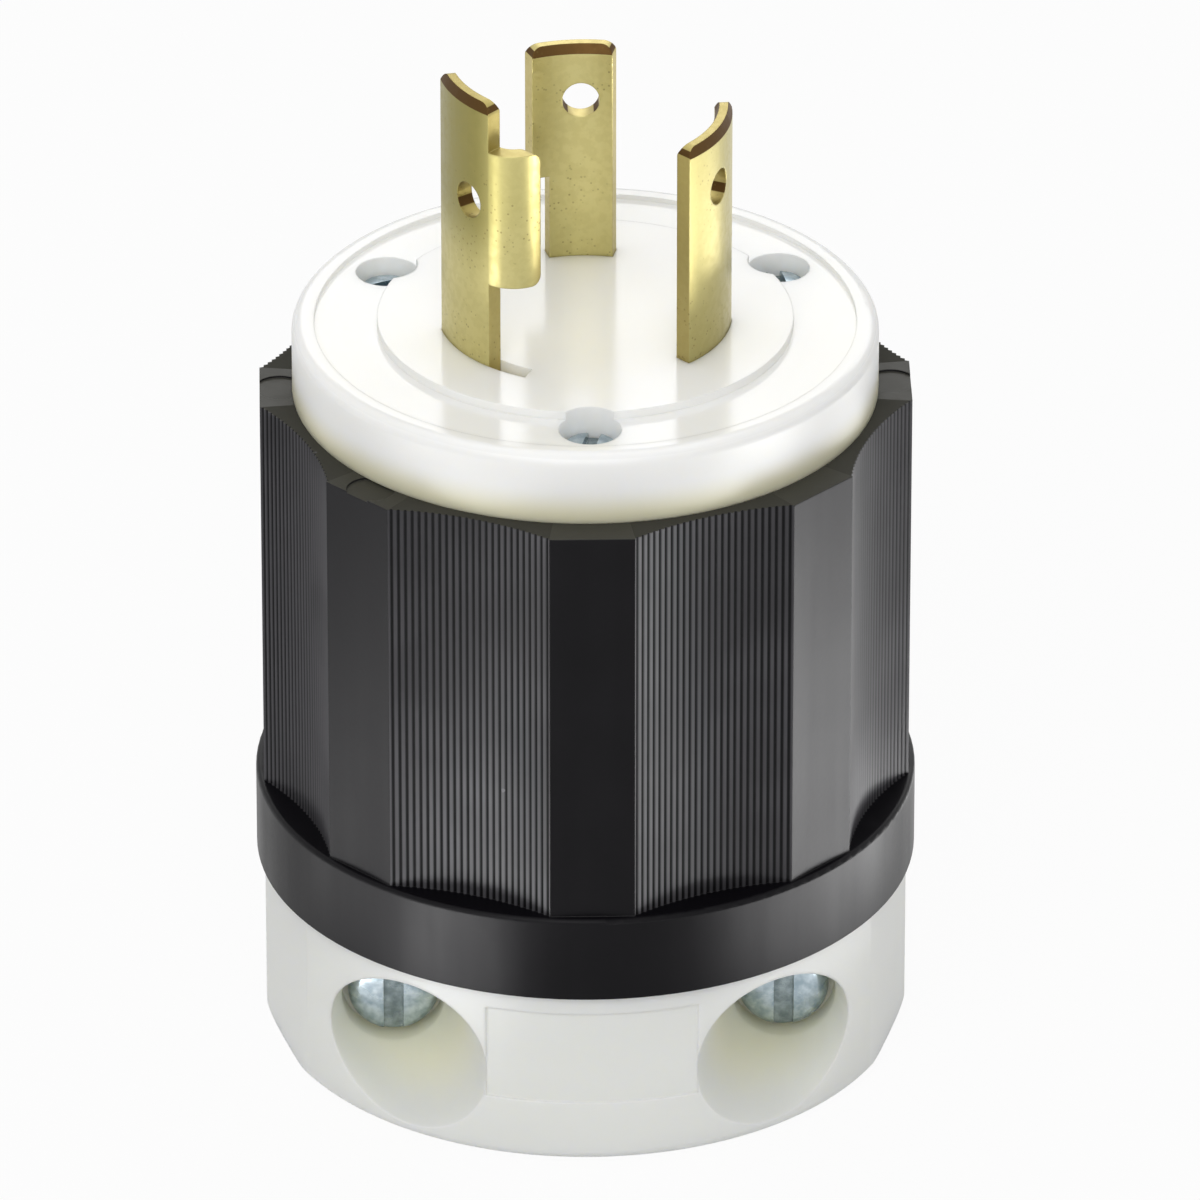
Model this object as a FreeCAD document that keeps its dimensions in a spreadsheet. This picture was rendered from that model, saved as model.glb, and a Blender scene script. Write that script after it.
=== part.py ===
import FreeCAD, Part
import math
import os
import re

import Sketcher
from FreeCAD import Placement, Rotation, Vector

# Locking power plug with three blades, standing on its cord end.
# Millimetres. The origin is the centre of the underside, +Z points towards the blades, and the front,
# where the clamp screws are reached, faces -Y. An angle about the axis is counted from the front,
# counterclockwise as seen from the blade end.

SIZES = {
    "Base, the cord clamp body": {
        "body_radius": 26.1,
        "base_height": 15.4,
        "base_edge_round": 0.9,
        "side_flat_start": 61.0,
        "side_flat_end": 87.0,
        "deck_thickness": 3.8,
        "deck_bore_radius": 12.0,
        "spigot_height": 5.0,
        "spigot_wall": 2.35,
        "boss_radius": 3.3,
        "pilot_depth": 7.4,
        "funnel_mouth_radius": 6.4,
        "funnel_floor_radius": 4.2,
        "funnel_floor_wall": 2.5,
        "funnel_floor_place": 9.9,
        "plate_width_angle": 38.2,
        "plate_height": 8.2,
        "plate_bottom": 5.4,
        "plate_depth": 0.25,
    },
    "Cord clamp": {
        "cord_radius": 11.0,
        "clamp_screw_height": 7.5,
        "clamp_bottom_recess": 1.2,
        "clamp_side_wall": 6.4,
        "clamp_screw_inset": 3.9,
        "saddle_ear": 3.0,
        "saddle_lobe_width": 19.2,
        "saddle_lobe_wall": 3.2,
        "jaw_ear": 5.7,
        "jaw_opening": 11.0,
        "jaw_lobe_width": 23.4,
        "jaw_lobe_wall": 4.2,
        "guide_clearance": 0.3,
        "grip_groove_depth": 0.6,
        "grip_groove_width": 1.4,
        "grip_groove_pitch": 2.6,
    },
    "Housing": {
        "housing_height": 41.5,
        "housing_wall": 4.3,
        "panel_width": 6.8,
        "panel_count": 8,
        "scallop_depth": 0.95,
        "rib_pitch": 0.545,
        "rib_depth": 0.2,
        "band_height": 7.3,
        "band_proud": 0.65,
        "band_edge_round": 0.4,
        "column_radius": 3.0,
        "column_web": 3.6,
        "pin_mark_radius": 1.95,
        "pin_mark_inset": 1.6,
        "pin_mark_depth": 0.15,
    },
    "Face block": {
        "flange_height": 6.0,
        "flange_inset": 2.6,
        "flange_edge_round": 1.0,
        "rim_width": 1.8,
        "ring_depth": 0.4,
        "plateau_radius": 16.65,
        "plateau_rise": 0.3,
        "face_plug_depth": 6.9,
        "hub_gap": 0.3,
        "hub_height": 16.0,
        "chamber_width": 10.4,
        "chamber_height": 14.0,
        "peg_radius": 2.0,
        "peg_length": 5.0,
    },
    "Blades": {
        "blade_radius": 11.7,
        "blade_thickness": 1.4,
        "blade_reach": 18.9,
        "blade_coin_height": 0.8,
        "blade_coin_depth": 0.35,
        "blade_corner_round": 1.0,
        "blade_hole_radius": 1.5,
        "blade_hole_height": 14.0,
        "lock_notch_height": 7.3,
        "tab_width_angle": 42.0,
        "line_angle": 180.7,
        "line_width_angle": 28.4,
        "line_hook_angle": 8.2,
        "neutral_angle": 64.3,
        "neutral_width_angle": 41.4,
        "neutral_hook_angle": 9.0,
        "ground_angle": -53.6,
        "ground_reach": 23.1,
        "ground_start_angle": 25.9,
        "ground_end_angle": 11.6,
        "ground_shank_angle": 16.5,
        "ground_shank_depth": 1.0,
        "ear_bend_radius": 2.3,
        "ear_turn_angle": 87.0,
        "ear_height": 11.7,
        "ear_corner_round": 0.9,
    },
    "Terminals": {
        "terminal_height": 7.0,
        "terminal_plate_width": 8.4,
        "terminal_plate_height": 9.0,
        "terminal_plate_thickness": 2.0,
        "terminal_wire_gap": 2.1,
        "terminal_tip_gap": 0.5,
        "wire_cover_thickness": 3.2,
        "wire_hole_radius": 3.0,
    },
    "Screws, nuts and fits": {
        "assembly_inset": 3.6,
        "assembly_head_radius": 2.4,
        "assembly_head_height": 1.8,
        "assembly_head_recess": 1.1,
        "assembly_shank_radius": 1.75,
        "clamp_head_radius": 3.7,
        "clamp_head_height": 2.2,
        "clamp_shank_radius": 2.0,
        "terminal_head_radius": 3.2,
        "terminal_head_height": 2.2,
        "terminal_shank_radius": 2.0,
        "terminal_shank_length": 6.8,
        "slot_share": 0.5,
        "slot_width": 1.1,
        "nut_width": 7.0,
        "nut_thickness": 3.2,
        "hole_clearance": 0.2,
        "thread_clearance": 0.1,
        "fit_clearance": 0.15,
        "slot_clearance": 0.05,
    },
}

# Formulas for the places that several pieces share
HOUSING_BORE = "(body_radius - housing_wall)"
BAND_RADIUS = "(body_radius + band_proud)"
FLANGE_RADIUS = "(body_radius - flange_inset)"
ASSEMBLY_CIRCLE = f"({HOUSING_BORE} - assembly_inset)"
HUB_RADIUS = f"({ASSEMBLY_CIRCLE} - column_radius - hub_gap)"
PIN_MARK_CIRCLE = "(body_radius - pin_mark_inset)"
SPIGOT_TOP = "(base_height + spigot_height)"
HOUSING_TOP = "(base_height + housing_height)"
RIM_TOP = f"({HOUSING_TOP} + flange_height)"
RING_FLOOR = f"({RIM_TOP} - ring_depth)"
PLATEAU = f"({RIM_TOP} + plateau_rise)"
FACE_PLUG_FOOT = f"({HOUSING_TOP} - face_plug_depth)"
HUB_FOOT = f"({FACE_PLUG_FOOT} - hub_height)"
CHAMBER_ROOF = f"({HUB_FOOT} + chamber_height)"
TERMINAL_LEVEL = f"({HUB_FOOT} + terminal_height)"
ASSEMBLY_SEAT = f"({RING_FLOOR} - assembly_head_recess - assembly_head_height)"
PILOT_FLOOR = f"({SPIGOT_TOP} - pilot_depth)"
DECK_UNDERSIDE = "(base_height - deck_thickness)"
CLAMP_FRONT = "(funnel_floor_place - funnel_floor_wall)"
SADDLE_FACE = f"({CLAMP_FRONT} - saddle_ear)"
JAW_FACE = f"(jaw_opening - {SADDLE_FACE})"
JAW_BACK = f"({JAW_FACE} + jaw_ear)"
CLAMP_HALF_WIDTH = "(body_radius - clamp_side_wall)"
CLAMP_SCREW_PLACE = f"({CLAMP_HALF_WIDTH} - clamp_screw_inset)"
BLADE_INNER = "(blade_radius - blade_thickness)"
WIRE_HOLE_CIRCLE = f"({BLADE_INNER} - terminal_wire_gap / 2)"
POST_RADIUS = "(blade_radius - terminal_shank_length - terminal_tip_gap)"

# Room that a cutting profile runs past the face it starts from
PAST = 1.0

doc = FreeCAD.newDocument("locking_plug")


def fill_sheet():
    """Put every driving size into the size table, one row each, under its own name."""
    table = doc.addObject("Spreadsheet::Sheet", "Sizes")
    row = 1
    for group, sizes in SIZES.items():
        table.set(f"A{row}", group)
        row += 1
        for name, value in sizes.items():
            table.set(f"A{row}", name)
            table.set(f"B{row}", str(value))
            table.setAlias(f"B{row}", name)
            row += 1
    return table


sheet = fill_sheet()
doc.recompute()


def size(name):
    return float(sheet.get(name))


def bound(formula):
    """A formula on size names, such as base_height + 1, as the document's own expression."""
    return re.sub(r"[a-z]+(_[a-z]+)+", lambda found: "Sizes." + found.group(), formula)


# Sketches

def new_body(label):
    body = doc.addObject("PartDesign::Body", label)
    body.Label = label
    return body


def sketch_on(body, plane, name, raised="0", turn=0.0):
    """A sketch on one of the body's planes, raised along its normal and turned about its upright."""
    sketch = body.newObject("Sketcher::SketchObject", name)
    support = next(item for item in body.Origin.OriginFeatures if item.Role == plane)
    sketch.AttachmentSupport = [(support, "")]
    sketch.MapMode = "FlatFace"
    sketch.AttachmentOffset = Placement(Vector(0, 0, 0), Rotation(Vector(0, 1, 0), turn))
    sketch.setExpression("AttachmentOffset.Base.z", bound(raised))
    return sketch


def pin_point(sketch, geometry, point, x, y):
    """Hold a point of a sketch at (x, y), each a formula."""
    for kind, formula in (("DistanceX", x), ("DistanceY", y)):
        index = sketch.addConstraint(Sketcher.Constraint(kind, -1, 1, geometry, point, 0.0))
        sketch.setExpression(f"Constraints[{index}]", bound(formula))


def outline(sketch, corners):
    """A closed outline of straight lines through the corners."""
    count = len(corners)
    first = sketch.GeometryCount
    ring = [Vector(math.cos(math.tau * i / count), math.sin(math.tau * i / count), 0) for i in range(count)]
    for i in range(count):
        sketch.addGeometry(Part.LineSegment(ring[i], ring[(i + 1) % count]), False)
    for i in range(count):
        sketch.addConstraint(Sketcher.Constraint("Coincident", first + i, 2, first + (i + 1) % count, 1))
    for i, (x, y) in enumerate(corners):
        pin_point(sketch, first + i, 1, x, y)


def rectangle(sketch, left, right, bottom, top):
    outline(sketch, [(left, bottom), (right, bottom), (right, top), (left, top)])


def circle(sketch, x, y, radius):
    ring = sketch.addGeometry(Part.Circle(Vector(1, 1, 0), Vector(0, 0, 1), 1.0), False)
    pin_point(sketch, ring, 3, x, y)
    index = sketch.addConstraint(Sketcher.Constraint("Radius", ring, 1.0))
    sketch.setExpression(f"Constraints[{index}]", bound(radius))


def upright_axis(sketch, x):
    """A construction line at x, parallel to the sketch's own upright, for turning a profile about."""
    line = sketch.addGeometry(Part.LineSegment(Vector(1, 0, 0), Vector(1, 1, 0)), True)
    pin_point(sketch, line, 1, x, "0")
    pin_point(sketch, line, 2, x, "1")


def around(radius, angle):
    """The place at a radius and an angle from the front, as two formulas."""
    return f"({radius}) * sin({angle})", f"-({radius}) * cos({angle})"


# Features

def settle(body, feature, before, adds):
    """Rebuild, and stop if the feature did not add or take away material."""
    body.Tip = feature
    doc.recompute()
    change = feature.Shape.Volume - before
    if (change > 0) != adds or abs(change) < 1e-4:
        raise RuntimeError(f"{body.Label}: {feature.Label} changed the volume by {change:.4f}")
    return feature


def volume_of(body):
    doc.recompute()
    return body.Shape.Volume if body.Tip and not body.Shape.isNull() else 0.0


def extrude(body, sketch, kind, length=None, reverse=False, both=False):
    """A pad or a pocket: length is a formula, and none means through everything."""
    before = volume_of(body)
    feature = body.newObject("PartDesign::" + kind, kind + "_" + sketch.Label)
    feature.Profile = sketch
    feature.Reversed = reverse
    if both:
        feature.SideType = "Symmetric"
    if length is None:
        feature.Type = "ThroughAll"
    else:
        feature.setExpression("Length", bound(length))
    sketch.Visibility = False
    return settle(body, feature, before, kind == "Pad")


def turn(body, sketch, kind, angle="360", axis="V_Axis", centred=False, reverse=False):
    """A revolution or a groove about the sketch's upright or its own construction line."""
    before = volume_of(body)
    feature = body.newObject("PartDesign::" + kind, kind + "_" + sketch.Label)
    feature.Profile = sketch
    feature.ReferenceAxis = (sketch, [axis])
    feature.setExpression("Angle", bound(angle))
    feature.Midplane = centred
    feature.Reversed = reverse
    sketch.Visibility = False
    return settle(body, feature, before, kind == "Revolution")


def pattern(body, originals, count):
    """Copies of features about the body's own Z axis."""
    before = volume_of(body)
    copies = body.newObject("PartDesign::PolarPattern", "Pattern_" + originals[0].Label)
    copies.Originals = originals
    axis = next(item for item in body.Origin.OriginFeatures if item.Role == "Z_Axis")
    copies.Axis = (axis, [""])
    copies.Angle = 360
    copies.setExpression("Occurrences", bound(count))
    body.Tip = copies
    doc.recompute()
    if abs(copies.Shape.Volume - before) < 1e-4:
        raise RuntimeError(f"{body.Label}: the pattern of {originals[0].Label} changed nothing")
    return copies


def mirror(body, original, plane):
    """A mirrored copy of one feature across one of the body's planes."""
    before = volume_of(body)
    copy = body.newObject("PartDesign::Mirrored", "Mirrored_" + original.Label)
    copy.Originals = [original]
    support = next(item for item in body.Origin.OriginFeatures if item.Role == plane)
    copy.MirrorPlane = (support, [""])
    body.Tip = copy
    doc.recompute()
    if abs(copy.Shape.Volume - before) < 1e-4:
        raise RuntimeError(f"{body.Label}: the mirror of {original.Label} changed nothing")
    return copy


def round_edges(body, radius, chosen):
    """A fillet on the edges for which chosen(edge) holds."""
    base = body.Tip
    doc.recompute()
    names = [f"Edge{i + 1}" for i, edge in enumerate(base.Shape.Edges) if chosen(edge)]
    if not names:
        raise RuntimeError(f"{body.Label}: no edge to round")
    fillet = body.newObject("PartDesign::Fillet", "Round_" + base.Label)
    fillet.Base = (base, names)
    fillet.setExpression("Radius", bound(radius))
    body.Tip = fillet
    doc.recompute()
    return fillet


def on_ring(radius, level):
    """Chooses circular edges about the Z axis at a radius and a height."""
    def chosen(edge):
        curve = edge.Curve
        return (
            hasattr(curve, "Radius")
            and abs(curve.Radius - radius) < 1e-3
            and abs(edge.BoundBox.ZMin - level) < 1e-3
            and abs(edge.BoundBox.ZMax - level) < 1e-3
        )
    return chosen


# Base: nylon body with the funnels for the clamp screws, the jaw guide and the spigot

def make_base():
    body = new_body("base")
    plan = sketch_on(body, "XY_Plane", "base_plan")
    circle(plan, "0", "0", "body_radius")
    extrude(body, plan, "Pad", "base_height")
    round_edges(body, "base_edge_round", on_ring(size("body_radius"), 0.0))
    flats = sketch_on(body, "XY_Plane", "side_flats")
    start = around("body_radius", "side_flat_start")
    end = around("body_radius", "side_flat_end")
    for side in ("1", "-1"):
        for way in ("1", "-1"):
            outline(flats, [
                (f"{side} * {start[0]}", f"{way} * {start[1]}"),
                (f"{side} * {end[0]}", f"{way} * {end[1]}"),
                (f"{side} * ({end[0]} + {PAST})", f"{way} * {end[1]}"),
                (f"{side} * ({end[0]} + {PAST})", f"{way} * {start[1]}"),
            ])
    extrude(body, flats, "Pocket", "base_height", reverse=True)

    spigot = sketch_on(body, "XY_Plane", "spigot", "base_height")
    circle(spigot, "0", "0", f"{HOUSING_BORE} - fit_clearance")
    circle(spigot, "0", "0", f"{HOUSING_BORE} - fit_clearance - spigot_wall")
    extrude(body, spigot, "Pad", "spigot_height")
    boss = sketch_on(body, "XY_Plane", "boss", "base_height")
    circle(boss, "0", f"-{ASSEMBLY_CIRCLE}", "boss_radius")
    boss_pad = extrude(body, boss, "Pad", "spigot_height")
    pilot = sketch_on(body, "XY_Plane", "pilot", SPIGOT_TOP)
    circle(pilot, "0", f"-{ASSEMBLY_CIRCLE}", "assembly_shank_radius + thread_clearance")
    pilot_hole = extrude(body, pilot, "Pocket", "pilot_depth")
    pattern(body, [boss_pad, pilot_hole], "3")

    cord_way = sketch_on(body, "XY_Plane", "cord_way", "base_height")
    circle(cord_way, "0", "0", "deck_bore_radius")
    extrude(body, cord_way, "Pocket", "base_height")
    cut_jaw_guide(body)
    cut_funnels(body)
    plate = sketch_on(body, "XZ_Plane", "plate_place", turn=-90)
    rectangle(plate, "body_radius - plate_depth", f"body_radius + {PAST}",
              "plate_bottom", "plate_bottom + plate_height")
    turn(body, plate, "Groove", "plate_width_angle", centred=True)
    return body


def cut_jaw_guide(body):
    """The room in which the saddle sits and the jaw slides, open to the underside."""
    guide = sketch_on(body, "XY_Plane", "jaw_guide")
    half = f"({CLAMP_HALF_WIDTH} + guide_clearance)"
    front_half = "(saddle_lobe_width / 2 + guide_clearance / 2)"
    front = "(cord_radius + saddle_lobe_wall + guide_clearance / 2)"
    back_half = "(jaw_lobe_width / 2 + guide_clearance)"
    back = "(cord_radius + jaw_lobe_wall + guide_clearance)"
    shoulder = f"({JAW_BACK} + guide_clearance)"
    right_side = [
        (front_half, f"-{front}"),
        (front_half, f"-{CLAMP_FRONT}"),
        (half, f"-{CLAMP_FRONT}"),
        (half, shoulder),
        (back_half, shoulder),
        (back_half, back),
    ]
    left_side = [(f"-{x}", y) for x, y in reversed(right_side)]
    outline(guide, right_side + left_side)
    extrude(body, guide, "Pocket", DECK_UNDERSIDE, reverse=True)


def cut_funnels(body):
    """Two funnels that lead a screwdriver to the clamp screws, each with its shank hole."""
    funnel = sketch_on(body, "XY_Plane", "funnel", "clamp_screw_height")
    centre = CLAMP_SCREW_PLACE
    hole = "(clamp_shank_radius + hole_clearance)"
    head_plane = "(funnel_floor_place + clamp_head_height)"
    wall_place = f"sqrt(body_radius ^ 2 - {centre} ^ 2)"
    far_place = f"(body_radius + {PAST})"
    slope = f"((funnel_mouth_radius - funnel_floor_radius) / ({wall_place} - {head_plane}))"
    far_radius = f"(funnel_floor_radius + {slope} * ({far_place} - {head_plane}))"
    outline(funnel, [
        (centre, f"-({CLAMP_FRONT} - {PAST})"),
        (f"{centre} + {hole}", f"-({CLAMP_FRONT} - {PAST})"),
        (f"{centre} + {hole}", "-funnel_floor_place"),
        (f"{centre} + funnel_floor_radius", "-funnel_floor_place"),
        (f"{centre} + funnel_floor_radius", f"-{head_plane}"),
        (f"{centre} + {far_radius}", f"-{far_place}"),
        (centre, f"-{far_place}"),
    ])
    upright_axis(funnel, centre)
    cut = turn(body, funnel, "Groove", axis="Axis0")
    mirror(body, cut, "YZ_Plane")


# Cord clamp: the fixed saddle and the jaw that the screws draw towards it

def clamp_half(label, corners, screw_from, screw_to):
    """One half of the clamp: its plan, the round mouth for the cord, grip grooves and screw holes."""
    body = new_body(label)
    foot = "clamp_bottom_recess"
    height = f"({DECK_UNDERSIDE} - guide_clearance - clamp_bottom_recess)"
    plan = sketch_on(body, "XY_Plane", label + "_plan", foot)
    outline(plan, corners + [(f"-{x}", y) for x, y in reversed(corners)])
    extrude(body, plan, "Pad", height)
    mouth = sketch_on(body, "XY_Plane", label + "_mouth", foot)
    circle(mouth, "0", "0", "cord_radius")
    extrude(body, mouth, "Pocket", height, reverse=True)
    grooves = sketch_on(body, "XZ_Plane", label + "_grooves")
    middle = f"({foot} + {height} / 2)"
    for step in ("-1", "0", "1"):
        level = f"({middle} + {step} * grip_groove_pitch)"
        outline(grooves, [
            (f"cord_radius - {PAST}", f"{level} - grip_groove_width / 2"),
            ("cord_radius", f"{level} - grip_groove_width / 2"),
            ("cord_radius + grip_groove_depth", level),
            ("cord_radius", f"{level} + grip_groove_width / 2"),
            (f"cord_radius - {PAST}", f"{level} + grip_groove_width / 2"),
        ])
    turn(body, grooves, "Groove")
    holes = sketch_on(body, "XZ_Plane", label + "_holes", f"-({screw_to})")
    for side in ("1", "-1"):
        circle(holes, f"{side} * {CLAMP_SCREW_PLACE}", "clamp_screw_height",
               "clamp_shank_radius + hole_clearance")
    extrude(body, holes, "Pocket", f"({screw_to}) - ({screw_from})", reverse=True)
    return body


def make_saddle():
    lobe = "saddle_lobe_width / 2"
    deep = "-(cord_radius + saddle_lobe_wall)"
    corners = [
        (lobe, deep),
        (lobe, f"-{CLAMP_FRONT}"),
        (CLAMP_HALF_WIDTH, f"-{CLAMP_FRONT}"),
        (CLAMP_HALF_WIDTH, f"-{SADDLE_FACE}"),
    ]
    return clamp_half("clamp_saddle", corners, f"-{CLAMP_FRONT} - {PAST}", f"-{SADDLE_FACE} + {PAST}")


def make_jaw():
    lobe = "jaw_lobe_width / 2"
    deep = "cord_radius + jaw_lobe_wall"
    corners = [
        (CLAMP_HALF_WIDTH, JAW_FACE),
        (CLAMP_HALF_WIDTH, JAW_BACK),
        (lobe, JAW_BACK),
        (lobe, deep),
    ]
    body = clamp_half("clamp_jaw", corners, f"{JAW_FACE} - {PAST}", f"{JAW_BACK} + {PAST}")
    pockets = sketch_on(body, "XZ_Plane", "nut_pockets", f"-{JAW_BACK}")
    half = "nut_width / 2"
    for side in ("1", "-1"):
        centre = f"{side} * {CLAMP_SCREW_PLACE}"
        rectangle(pockets, f"{centre} - {half}", f"{centre} + {half}",
                  f"clamp_screw_height - {half}", f"clamp_screw_height + {half}")
    extrude(body, pockets, "Pocket", "nut_thickness", reverse=True)
    return body


# Housing: ribbed nylon shell with its band, made as one moulding

def make_housing():
    body = new_body("housing")
    grip = sketch_on(body, "XY_Plane", "grip_plan", "base_height")
    corners = []
    half_panel = "atan(panel_width / 2 / body_radius)"
    corner_radius = "sqrt(body_radius ^ 2 + (panel_width / 2) ^ 2)"
    for i in range(int(size("panel_count"))):
        for side in ("-1", "1"):
            corners.append(around(corner_radius, f"{i} * 360 deg / panel_count + {side} * {half_panel}"))
    outline(grip, corners)
    extrude(body, grip, "Pad", "housing_height")
    cut_scallops(body)
    band = sketch_on(body, "XY_Plane", "band", "base_height")
    circle(band, "0", "0", BAND_RADIUS)
    extrude(body, band, "Pad", "band_height")
    band_edge = on_ring(size("body_radius") + size("band_proud"), size("base_height") + size("band_height"))
    round_edges(body, "band_edge_round", band_edge)
    bore = sketch_on(body, "XY_Plane", "bore", "base_height")
    circle(bore, "0", "0", HOUSING_BORE)
    extrude(body, bore, "Pocket", "housing_height", reverse=True)
    add_columns(body)
    marks = sketch_on(body, "XY_Plane", "pin_marks", HOUSING_TOP)
    for angle in ("-45", "-90", "90", "135"):
        x, y = around(PIN_MARK_CIRCLE, angle)
        circle(marks, x, y, "pin_mark_radius")
    extrude(body, marks, "Pocket", "pin_mark_depth")
    return body


def cut_scallops(body):
    """The hollow between two panels, with its fine upright ribs, repeated round the housing."""
    half_panel = math.atan(size("panel_width") / 2 / size("body_radius"))
    corner_radius = math.hypot(size("body_radius"), size("panel_width") / 2)
    half_gap = math.pi / size("panel_count") - half_panel
    half_chord = corner_radius * math.sin(half_gap)
    chord_place = corner_radius * math.cos(half_gap)
    arc_radius = (half_chord ** 2 + size("scallop_depth") ** 2) / (2 * size("scallop_depth"))
    arc_centre = chord_place - size("scallop_depth") + arc_radius
    half_arc = math.asin(half_chord / arc_radius)
    ribs = max(1, round(2 * half_arc * arc_radius / size("rib_pitch")))

    def on_scallop(share, depth):
        angle = (2 * share - 1) * half_arc
        reach = arc_radius + depth
        return Vector(reach * math.sin(angle), -(arc_centre - reach * math.cos(angle)), 0)

    points = [on_scallop(0.0, 0.0)]
    for i in range(ribs):
        points.append(on_scallop((i + 0.5) / ribs, size("rib_depth")))
        points.append(on_scallop((i + 1.0) / ribs, 0.0))
    outside = -(corner_radius + PAST)
    points.append(Vector(half_chord + PAST, outside, 0))
    points.append(Vector(-half_chord - PAST, outside, 0))
    turned = Rotation(Vector(0, 0, 1), 180 / size("panel_count"))
    points = [turned.multVec(point) for point in points]
    sketch = sketch_on(body, "XY_Plane", "scallop", "base_height + band_height / 2")
    lines = [Part.LineSegment(points[i - 1], points[i]) for i in range(len(points))]
    sketch.addGeometry(lines, False)
    sketch.addConstraint([
        Sketcher.Constraint("Coincident", i - 1 if i else len(points) - 1, 2, i, 1)
        for i in range(len(points))
    ])
    cut = extrude(body, sketch, "Pocket", "housing_height", reverse=True)
    pattern(body, [cut], "panel_count")


def add_columns(body):
    """Three columns inside the bore that the assembly screws run through."""
    length = f"{FACE_PLUG_FOOT} - {SPIGOT_TOP}"
    column = sketch_on(body, "XY_Plane", "column", SPIGOT_TOP)
    circle(column, "0", f"-{ASSEMBLY_CIRCLE}", "column_radius")
    column_pad = extrude(body, column, "Pad", length)
    web = sketch_on(body, "XY_Plane", "column_web", SPIGOT_TOP)
    rectangle(web, "-column_web / 2", "column_web / 2",
              f"-({HOUSING_BORE} + thread_clearance)", f"-{ASSEMBLY_CIRCLE}")
    web_pad = extrude(body, web, "Pad", length)
    screw_way = sketch_on(body, "XY_Plane", "screw_way", SPIGOT_TOP)
    circle(screw_way, "0", f"-{ASSEMBLY_CIRCLE}", "assembly_shank_radius + hole_clearance")
    screw_hole = extrude(body, screw_way, "Pocket", length, reverse=True)
    pattern(body, [column_pad, web_pad, screw_hole], "3")


# Face block: nylon blade carrier with the flange, the plateau and the terminal chambers

def make_face_block():
    body = new_body("face_block")
    profile = sketch_on(body, "XZ_Plane", "face_profile")
    plug_radius = f"({HOUSING_BORE} - fit_clearance)"
    inner_rim = f"({FLANGE_RADIUS} - rim_width)"
    outline(profile, [
        ("0", HUB_FOOT),
        (HUB_RADIUS, HUB_FOOT),
        (HUB_RADIUS, FACE_PLUG_FOOT),
        (plug_radius, FACE_PLUG_FOOT),
        (plug_radius, HOUSING_TOP),
        (FLANGE_RADIUS, HOUSING_TOP),
        (FLANGE_RADIUS, RIM_TOP),
        (inner_rim, RIM_TOP),
        (inner_rim, RING_FLOOR),
        ("plateau_radius", RING_FLOOR),
        ("plateau_radius", PLATEAU),
        ("0", PLATEAU),
    ])
    turn(body, profile, "Revolution")
    rim_top = size("base_height") + size("housing_height") + size("flange_height")
    flange_edge = on_ring(size("body_radius") - size("flange_inset"), rim_top)
    round_edges(body, "flange_edge_round", flange_edge)
    for blade in ("line", "neutral", "ground"):
        cut_chamber(body, blade)
    cut_blade_slots(body)

    shank_way = sketch_on(body, "XY_Plane", "face_screw_way", FACE_PLUG_FOOT)
    circle(shank_way, "0", f"-{ASSEMBLY_CIRCLE}", "assembly_shank_radius + hole_clearance")
    way = extrude(body, shank_way, "Pocket", f"{PLATEAU} - {FACE_PLUG_FOOT}", reverse=True)
    seat = sketch_on(body, "XY_Plane", "face_screw_seat", ASSEMBLY_SEAT)
    circle(seat, "0", f"-{ASSEMBLY_CIRCLE}", "assembly_head_radius + thread_clearance")
    counterbore = extrude(body, seat, "Pocket", f"{PLATEAU} - {ASSEMBLY_SEAT}", reverse=True)
    pattern(body, [way, counterbore], "3")
    peg_hole = sketch_on(body, "XY_Plane", "peg_hole", HUB_FOOT)
    circle(peg_hole, "0", "0", "peg_radius + slot_clearance")
    extrude(body, peg_hole, "Pocket", "peg_length + fit_clearance", reverse=True)
    return body


def cut_chamber(body, blade):
    """The chamber for one terminal, open to the side of the hub and to its foot."""
    chamber = sketch_on(body, "XY_Plane", blade + "_chamber", HUB_FOOT)
    angle = f"{blade}_angle"
    half = "(chamber_width / 2)"
    far = f"({HUB_RADIUS} + {PAST})"
    corners = []
    for side, reach in (("-1", POST_RADIUS), ("-1", far), ("1", far), ("1", POST_RADIUS)):
        x = f"{reach} * sin({angle}) + {side} * {half} * cos({angle})"
        y = f"-{reach} * cos({angle}) + {side} * {half} * sin({angle})"
        corners.append((x, y))
    outline(chamber, corners)
    extrude(body, chamber, "Pocket", "chamber_height", reverse=True)


def cut_blade_slots(body):
    """One curved slot per blade, from the chamber to the plateau."""
    spans = {
        "line": (-size("line_width_angle") / 2, size("line_width_angle") / 2),
        "neutral": (-size("neutral_width_angle") / 2, size("neutral_width_angle") / 2),
        "ground": (-size("ground_start_angle"), size("ground_end_angle") + size("ground_shank_angle")),
    }
    spare = math.degrees(size("slot_clearance") / size("blade_radius"))
    for blade, (start, end) in spans.items():
        middle = size(blade + "_angle") + (start + end) / 2
        slot = sketch_on(body, "XZ_Plane", blade + "_slot", turn=middle - 90)
        rectangle(slot, f"{BLADE_INNER} - slot_clearance", "blade_radius + slot_clearance",
                  f"{CHAMBER_ROOF} - {PAST}", f"{PLATEAU} + {PAST}")
        turn(body, slot, "Groove", str(end - start + 2 * spare), centred=True)


# Blades: brass strips bent to the blade circle, each with its terminal tab in one piece

def plateau_level():
    names = ("base_height", "housing_height", "flange_height", "plateau_rise")
    return sum(size(name) for name in names)


def across_ear_end(levels):
    """Chooses the short edges across the ear's free end, at the given heights."""
    def chosen(edge):
        box = edge.BoundBox
        middle = box.Center
        return (
            box.ZLength < 1e-3
            and min(abs(middle.z - level) for level in levels) < 1e-3
            and abs(edge.Length - size("blade_thickness")) < 1e-3
            and math.hypot(middle.x, middle.y) < size("blade_radius") - size("blade_thickness")
        )
    return chosen


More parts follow.
